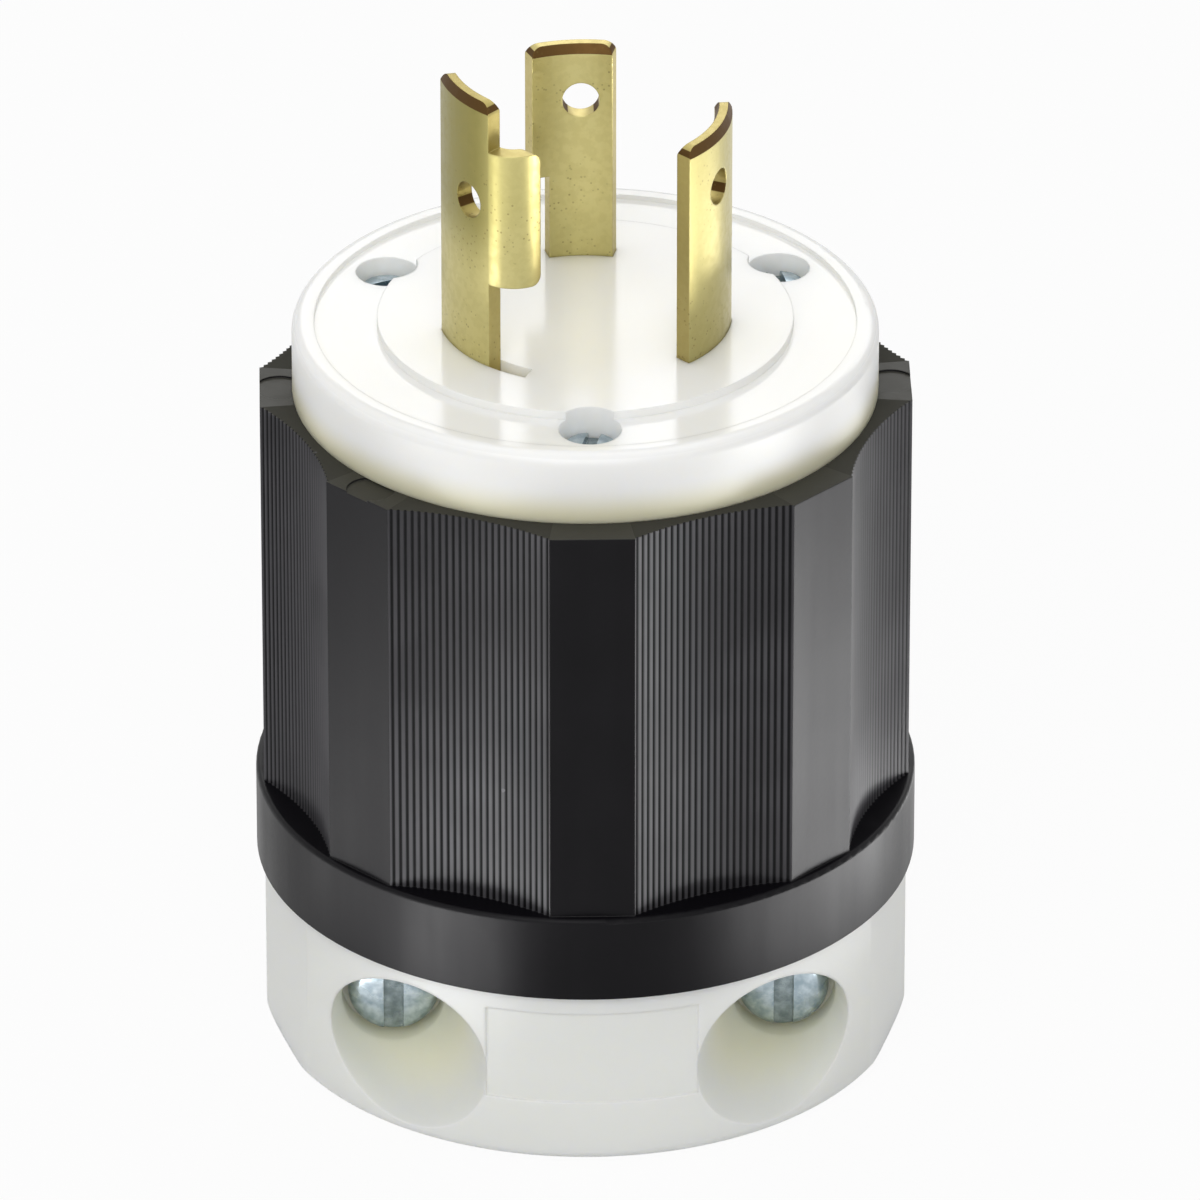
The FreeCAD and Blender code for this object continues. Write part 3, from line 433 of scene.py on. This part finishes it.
def black_nylon():
    paint = Paint("housing_nylon", Specular_IOR_Level=0.12)
    depth, in_hollow = depth_under_crests(paint)
    height = paint.parts(paint.place)[2]
    lean = paint.parts(paint.node("ShaderNodeTexCoord", output="Normal"))[2]
    upright = 1 - abs(lean).step(0.1, 0.3)
    groove = depth.step(*GROOVE_DEPTHS) * in_hollow
    crest = (1 - depth.step(*CREST_DEPTHS)) * in_hollow
    cloud = paint.noise(160.0)
    grain = paint.noise(2600.0, detail=2.0)
    streaks = paint.noise(420.0, detail=3.0, stretch=(1, 1, 0.04)).step(0.35, 0.75)
    patchy = paint.noise(75.0, detail=2.0).step(0.35, 0.65)
    specks = paint.specks(330.0, 0.07) * paint.noise(60.0).step(0.6, 0.66)
    colour = paint.mix(cloud, VIOLET_BLACK, CLOUDED_BLACK)
    # Painted highlight on the rib crests, patchy along them.
    colour = paint.mix(crest * (0.55 + patchy * 0.45), colour, CREST_HIGHLIGHT)
    # Painted shade in the grooves between the ribs.
    colour = paint.mix(groove, colour, GROOVE_SHADE)
    softened = paint.soft_edges(0.15 * MM)
    # Painted light: the upward ledge under the flange is paler.
    ledge = lean.step(0.6, 0.9) * height.step(LEDGE_FLOOR, LEDGE_FLOOR + 2 * MM)
    colour = paint.mix(ledge, colour, LEDGE_PAINTED_LIGHT)
    # Painted highlight on sharp edges outside the hollows.
    colour = paint.mix(paint.rims(softened) * (1 - in_hollow) * 0.6, colour, EDGE_HIGHLIGHT)
    colour = paint.mix(specks, colour, PALE_SPECK)
    roughness = 0.30 + cloud * 0.08 + grain * 0.06 + streaks * 0.06 + groove * 0.4 - crest * 0.06
    ribbed = in_hollow * height.inside(BAND_TOP, HOUSING_TOP, 0.05 * MM) * upright
    facing = paint.mix_vectors(ribbed, softened, shine_of_hollow(paint))
    normal = paint.bump(grain, 0.015 * MM, 0.3, under=facing)
    return paint.feed(Base_Color=colour, Roughness=roughness, Normal=normal)


cover(["housing"], black_nylon())

# %% [markdown]
# ## White nylon
# The face block is moulded from a white nylon that lets light in, which softens its edges and
# fills the small holes: subsurface scattering does that. The flange's foot looks creamy, where
# the black housing takes the light away, so a cream tint follows the height. The mould polished
# the top, and the flange's wall is a little rougher.

# %% Face block
FLANGE_FOOT = HOUSING_TOP
CREAM_HEIGHT = 3.2 * MM
FACE_WHITES = (0.91, 0.91, 0.88, 1), (0.94, 0.94, 0.92, 1)
FACE_CREAM = (0.86, 0.81, 0.55, 1)


def white_nylon():
    paint = Paint("face_nylon", Subsurface_Weight=0.7, Subsurface_Scale=2.5 * MM,
                  Subsurface_Radius=(1.0, 0.95, 0.85), IOR=1.5)
    height = paint.parts(paint.place)[2]
    foot = 1 - height.step(FLANGE_FOOT, FLANGE_FOOT + CREAM_HEIGHT)
    cloud = paint.noise(120.0)
    colour = paint.mix(cloud, *FACE_WHITES)
    colour = paint.mix(foot, colour, FACE_CREAM)
    wave = paint.noise(160.0, detail=1.0)
    upward = paint.parts(paint.node("ShaderNodeTexCoord", output="Normal"))[2]
    roughness = 0.38 - upward.step(0.3, 0.9) * 0.26 + cloud * 0.06
    normal = paint.bump(wave, 0.04 * MM, 0.2, under=paint.soft_edges(0.15 * MM))
    return paint.feed(Base_Color=colour, Roughness=roughness, Normal=normal)


cover(["face_block", "wire_cover"], white_nylon())

# %% [markdown]
# ## Natural nylon
# The cord clamp body is nylon with no pigment, milky like candle wax. Light passes through thin
# walls and gathers in the sharp rims, which look whiter. Deep places near the axis are painted a
# warm cream as painted shade, most of all round the screws at the bottom of the funnels.

# %% Base and clamp
DEEP_RADII = 19.0 * MM, 25.0 * MM
MILKY_WHITES = (0.80, 0.81, 0.775, 1), (0.87, 0.88, 0.85, 1)
DEEP_CREAM_SHADE = (0.92, 0.90, 0.71, 1)
LIT_RIM = (0.98, 0.98, 0.96, 1)


def natural_nylon():
    paint = Paint("clamp_nylon", Subsurface_Weight=0.6, Subsurface_Scale=3.0 * MM,
                  Subsurface_Radius=(1.0, 0.95, 0.75), IOR=1.5)
    x, y, _ = paint.parts(paint.place)
    radius = (x * x + y * y) ** 0.5
    deep = 1 - radius.step(*DEEP_RADII)
    flow = paint.noise(45.0, detail=2.0, stretch=(1, 1, 2.5))
    colour = paint.mix(flow, *MILKY_WHITES)
    # Painted shade: places near the axis, round the funnels, turn a warm cream.
    colour = paint.mix(deep * 0.9, colour, DEEP_CREAM_SHADE)
    softened = paint.soft_edges(0.3 * MM)
    colour = paint.mix(paint.rims(softened) * 0.8, colour, LIT_RIM)
    roughness = 0.36 + flow * 0.1
    wave = paint.noise(110.0, detail=1.0)
    normal = paint.bump(wave, 0.06 * MM, 0.2, under=softened)
    return paint.feed(Base_Color=colour, Roughness=roughness, Normal=normal)


cover(["base", "clamp_saddle", "clamp_jaw"], natural_nylon())

# %% [markdown]
# ## Sheet brass
# The blades are stamped from brass strip. The faces keep the rolling mill's fine lines and a
# satin shine with small dark pits. The sheared edges are browner. The tips were coined by the
# die, and their upward slopes carry a painted dark reflection, the darkest colour here. A face is
# told apart by its normal: on the faces of a strip bent about the axis it is radial, on the coined
# slopes it leans upwards. The tall blade is darker near its tip, and the one on the right is
# painted darker, as painted shade.

# %% Blades
FRESH_BRASS = (0.64, 0.57, 0.255, 1)
CLOUDED_BRASS = (0.53, 0.475, 0.195, 1)
DARKER_TIP = (0.25, 0.22, 0.065, 1)
RIGHT_BLADE_SHADE = (0.33, 0.29, 0.11, 1)
GRIT_BROWN = (0.36, 0.30, 0.10, 1)
SHEARED_BROWN = (0.42, 0.32, 0.11, 1)
COINED_DARK_REFLECTION = (0.10, 0.055, 0.018, 1)
PIT_BROWN = (0.16, 0.12, 0.04, 1)
TIP_HEIGHTS = 69 * MM, 77 * MM
TALL_BLADE_ENDS = -9 * MM, -6 * MM
RIGHT_BLADE_STARTS = 3 * MM, 6 * MM


def sheet_brass():
    paint = Paint("sheet_brass", Metallic=1.0)
    x, y, z = paint.parts(paint.place)
    radius = (x * x + y * y) ** 0.5
    facing = paint.node("ShaderNodeTexCoord", output="Normal")
    across_x, across_y, upward = paint.parts(facing)
    radial = abs((across_x * x + across_y * y) / radius)
    edge = 1 - radial.step(0.35, 0.75)
    coined = upward.inside(0.3, 0.7, 0.05)
    lines = paint.noise(260.0, detail=3.0, stretch=(6, 6, 0.35))
    tarnish = paint.noise(60.0, detail=2.0)
    tall_tip = z.step(*TIP_HEIGHTS) * (1 - x.step(*TALL_BLADE_ENDS))
    right_blade = x.step(*RIGHT_BLADE_STARTS)
    grit = paint.noise(1500.0, detail=2.0).step(0.4, 0.62)
    pits = paint.specks(2000.0, 0.22) * paint.noise(180.0).step(0.4, 0.6)
    colour = paint.mix(tarnish.step(0.35, 0.7), FRESH_BRASS, CLOUDED_BRASS)
    # The tall blade is darker near its tip.
    colour = paint.mix(tall_tip * 0.95, colour, DARKER_TIP)
    # Painted shade: the blade on the right is darker.
    colour = paint.mix(right_blade * 0.55, colour, RIGHT_BLADE_SHADE)
    colour = paint.mix(grit * 0.12, colour, GRIT_BROWN)
    colour = paint.mix(edge * 0.45, colour, SHEARED_BROWN)
    # Painted dark reflection on the upward coined slopes.
    colour = paint.mix(coined, colour, COINED_DARK_REFLECTION)
    colour = paint.mix(pits * 0.5, colour, PIT_BROWN)
    roughness = 0.26 + tarnish * 0.12 + grit * 0.06 + edge * 0.1 + coined * 0.15
    normal = paint.bump(lines, 0.03 * MM, 0.35, under=paint.soft_edges(0.16 * MM))
    return paint.feed(Base_Color=colour, Roughness=roughness, Normal=normal)


brass_nodes = ["blade_line", "blade_neutral", "blade_ground", "terminal_plate_line",
               "terminal_plate_neutral", "terminal_plate_ground"]
brass = sheet_brass()
cover(brass_nodes, brass)

# %% [markdown]
# ## Zinc plate
# The steel screws and nuts are plated with bright blue zinc, which lies mottled on the rough
# forged heads. The floor of a screw's slot is painted darker, as painted shade. The ground screw's
# steel is dyed green, so that the electrician knows it.

# %% Screws and nuts
SLOT_GREYS = (0.33, 0.39, 0.41, 1), (0.16, 0.20, 0.21, 1)
ZINC_BLUES = (0.56, 0.64, 0.69, 1), (0.30, 0.38, 0.43, 1)
DYED_GREENS = (0.06, 0.36, 0.14, 1), (0.02, 0.16, 0.07, 1)


def plated(name, light, dark):
    paint = Paint(name, Metallic=1.0)
    mottle = paint.noise(1300.0, detail=3.0)
    bloom = paint.noise(260.0, detail=2.0)
    colour = paint.mix(mottle.step(0.25, 0.75), dark, light)
    roughness = 0.18 + bloom * 0.18
    normal = paint.bump(mottle, 0.05 * MM, 0.5, under=paint.soft_edges(0.08 * MM))
    return paint.feed(Base_Color=colour, Roughness=roughness, Normal=normal)


# The slot floors get a darker steel, as painted shade.
shade = plated("slot_shade", *SLOT_GREYS)
zinc = plated("zinc_plate", *ZINC_BLUES)
green = plated("green_plate", *DYED_GREENS)
cover(["clamp_nut_left", "clamp_nut_right"], zinc)

# %% [markdown]
# ## Screws with threads
# In the frame each screw is a plain pin. Here it gets a smooth domed head with a sawn slot, and a
# thread. Both are closed shapes, spun from a profile and cut with planes, so the tools for that
# come first. Sizes are those of the pins.

# %% Closed shapes
DOME_STEPS = 48
WELD_DISTANCE = 0.002 * MM


def spun(profile, steps):
    """A closed solid from a profile of (radius, height) that starts and ends on the axis."""
    shape = bmesh.new()
    line = [shape.verts.new((radius, 0, height)) for radius, height in profile]
    edges = [shape.edges.new(pair) for pair in zip(line, line[1:])]
    bmesh.ops.spin(shape, geom=line + edges, cent=(0, 0, 0), axis=(0, 0, 1), dvec=(0, 0, 0),
                   angle=math.tau, steps=steps, use_merge=True, use_duplicate=False)
    bmesh.ops.remove_doubles(shape, verts=shape.verts[:], dist=WELD_DISTANCE)
    return shape


def close_holes(shape):
    """Fill every open rim with one face."""
    rim = [edge for edge in shape.edges if edge.is_boundary]
    bmesh.ops.holes_fill(shape, edges=rim, sides=0)
    return shape


def cut_away(shape, point, outward):
    """Cut off what lies beyond a plane, and close the cut."""
    geometry = shape.verts[:] + shape.edges[:] + shape.faces[:]
    bmesh.ops.bisect_plane(shape, geom=geometry, plane_co=point, plane_no=outward,
                           clear_outer=True)
    return close_holes(shape)


def add_to(whole, shape):
    """Add one closed shape to a mesh under construction, and free it."""
    bmesh.ops.recalc_face_normals(shape, faces=shape.faces[:])
    piece = bpy.data.meshes.new("piece")
    shape.to_mesh(piece)
    shape.free()
    whole.from_mesh(piece)
    bpy.data.meshes.remove(piece)


print("steps around a head:", DOME_STEPS)

# %% [markdown]
# ## Heads
# A real pan head is forged and then sawn. Sawing a slot out of a finished dome leaves thin,
# ragged faces, so the head is put together instead: a disc under the slot, and half a dome on
# each side of it. Only the disc's top shows in the slot, and it gets the darker steel of painted
# shade.

# %% Screw heads
SINK = 0.02 * MM
RIM_SHARE = 0.4
SHOULDER_SHARE = 0.3
SHOULDER_TOP_SHARE = 0.92
SHOULDER_DEGREES = (15, 32, 50, 68, 82)


def pan_profile(radius, height):
    """A short upright rim, a round shoulder and an almost flat crown."""
    rim = RIM_SHARE * height
    rise = SHOULDER_TOP_SHARE * height - rim
    points = [(0, 0), (radius, 0), (radius, rim)]
    for degrees in SHOULDER_DEGREES:
        angle = math.radians(degrees)
        out = radius * (1 - SHOULDER_SHARE + SHOULDER_SHARE * math.cos(angle))
        points.append((out, rim + rise * math.sin(angle)))
    return points + [(0.5 * radius, 0.97 * height), (0, height)]


def add_head(whole, radius, height, slot_width):
    """A pan head on the seat, with its slot along the x axis."""
    profile = pan_profile(radius, height)
    floor = height / 2
    disc = cut_away(spun(profile, DOME_STEPS), (0, 0, floor), (0, 0, 1))
    for face in disc.faces:
        face.material_index = int(min(corner.co.z for corner in face.verts) > floor - SINK)
    add_to(whole, disc)
    for side in (1, -1):
        half = cut_away(spun(profile, DOME_STEPS), (0, 0, floor - SINK), (0, 0, -1))
        add_to(whole, cut_away(half, (0, side * slot_width / 2, 0), (0, -side, 0)))


print("points in a head's profile:", len(pan_profile(1, 1)))

# %% [markdown]
# ## Threads
# A rolled thread is one tooth that winds down a core like a spring. So one tooth's outline is
# lowered while it is spun. It sinks a little into the core, so that the two read as one piece of
# steel.

# %% Shanks
THREAD_STEPS = 16
PITCH = 0.8 * MM
TIP_CHAMFER = 0.3 * MM


def add_shank(whole, radius, length, threaded):
    """A shank from the seat down: a core, and a thread over its last part."""
    root = radius - PITCH / 2
    core = [(0, SINK), (root, SINK), (root, TIP_CHAMFER - length),
            (root - TIP_CHAMFER, -length), (0, -length)]
    add_to(whole, spun(core, DOME_STEPS))
    turns = int((threaded - TIP_CHAMFER) / PITCH) - 1
    start = threaded - length
    # Four corners of the tooth: how far out each lies, and how far down, counted in pitches.
    outline = ((root - SINK, 0.03), (radius, 0.4), (radius, 0.55), (root - SINK, 0.92))
    tooth = bmesh.new()
    corners = [tooth.verts.new((out, 0, start - PITCH * down)) for out, down in outline]
    edges = [tooth.edges.new((corners[k], corners[k - 1])) for k in range(len(corners))]
    bmesh.ops.spin(tooth, geom=corners + edges, cent=(0, 0, 0), axis=(0, 0, 1),
                   dvec=(0, 0, -PITCH / THREAD_STEPS), angle=math.tau * turns,
                   steps=THREAD_STEPS * turns, use_merge=False, use_duplicate=False)
    add_to(whole, close_holes(tooth))


print("steps in one turn of thread:", THREAD_STEPS)

# %% [markdown]
# ## Whole screws
# A head and a shank become one object in the place of a plain pin, which is hidden. It is
# attached to the body called plug, and it gets the given material and the slot's painted shade.
# Faces that meet at more than 35 degrees keep a crisp edge.

# %% Screws in place of pins
CRISP_DEGREES = 35


def screw(node, place, material, head, head_height, slot_width, shank, length, threaded):
    """One screw in the place of its pin, the place given as a matrix with the head along +Z."""
    whole = bmesh.new()
    add_head(whole, head - SINK / 2, head_height, slot_width)
    add_shank(whole, shank, length, threaded)
    whole.transform(place)
    for face in whole.faces:
        face.smooth = True
    mesh = bpy.data.meshes.new("threaded_" + node)
    whole.to_mesh(mesh)
    whole.free()
    mesh.set_sharp_from_angle(angle=math.radians(CRISP_DEGREES))
    mesh.materials.append(material)
    mesh.materials.append(shade)
    piece = bpy.data.objects.new("threaded_" + node, mesh)
    bpy.context.scene.collection.objects.link(piece)
    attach(piece, "plug")
    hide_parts(node)
    return piece


def around(radius, degrees, height):
    """A place at an angle counted from the front, towards +X."""
    angle = math.radians(degrees)
    return Matrix.Translation((radius * math.sin(angle), -radius * math.cos(angle), height))


def turned(degrees, axis):
    return Matrix.Rotation(math.radians(degrees), 4, axis)


print("a thread's pitch, mm:", round(PITCH / MM, 2))

# %% [markdown]
# ## Eight screws
# Three long screws hold the plug together: only their tips are threaded. Two clamp screws are
# threaded all the way, and so are the short terminal screws. Their slots stand as the last turn
# left them. The heads of the terminal screws look outwards.

# %% Place the screws
ASSEMBLY_PIN = dict(head=2.4 * MM, head_height=1.8 * MM, slot_width=1.1 * MM, shank=1.75 * MM,
                    length=46.4 * MM, threaded=16 * MM)
CLAMP_PIN = dict(head=3.7 * MM, head_height=2.2 * MM, slot_width=1.6 * MM, shank=2.0 * MM,
                 length=22.2 * MM, threaded=18 * MM)
TERMINAL_PIN = dict(head=3.2 * MM, head_height=2.2 * MM, slot_width=1.1 * MM, shank=2.0 * MM,
                    length=6.8 * MM, threaded=6 * MM)
ASSEMBLY_CIRCLE, FACE_SEAT = 18.2 * MM, 59.6 * MM
CLAMP_ASIDE, CLAMP_SEAT, CLAMP_HEIGHT = 15.8 * MM, -9.9 * MM, 7.5 * MM
TERMINAL_CIRCLE, TERMINAL_HEIGHT = 11.7 * MM, 41 * MM

made = []
for name, degrees, slot_turn in (("front", 0, 78), ("right", 120, 100), ("left", 240, 24)):
    seat = around(ASSEMBLY_CIRCLE, degrees, FACE_SEAT) @ turned(slot_turn, "Z")
    made.append(screw("assembly_screw_" + name, seat, zinc, **ASSEMBLY_PIN))
for name, side in (("left", -1), ("right", 1)):
    seat = Matrix.Translation((side * CLAMP_ASIDE, CLAMP_SEAT, CLAMP_HEIGHT))
    facing_front = seat @ turned(90, "X") @ turned(90, "Z")
    made.append(screw("clamp_screw_" + name, facing_front, zinc, **CLAMP_PIN))
terminals = (("line", 180.7, brass), ("neutral", 64.3, zinc), ("ground", -53.6, green))
for name, degrees, material in terminals:
    seat = around(TERMINAL_CIRCLE, degrees, TERMINAL_HEIGHT) @ turned(degrees, "Z")
    facing_out = seat @ turned(90, "X")
    made.append(screw("terminal_screw_" + name, facing_out, material, **TERMINAL_PIN))
triangles = sum(len(face.vertices) - 2 for piece in made for face in piece.data.polygons)
print("screws:", len(made), "triangles:", triangles)
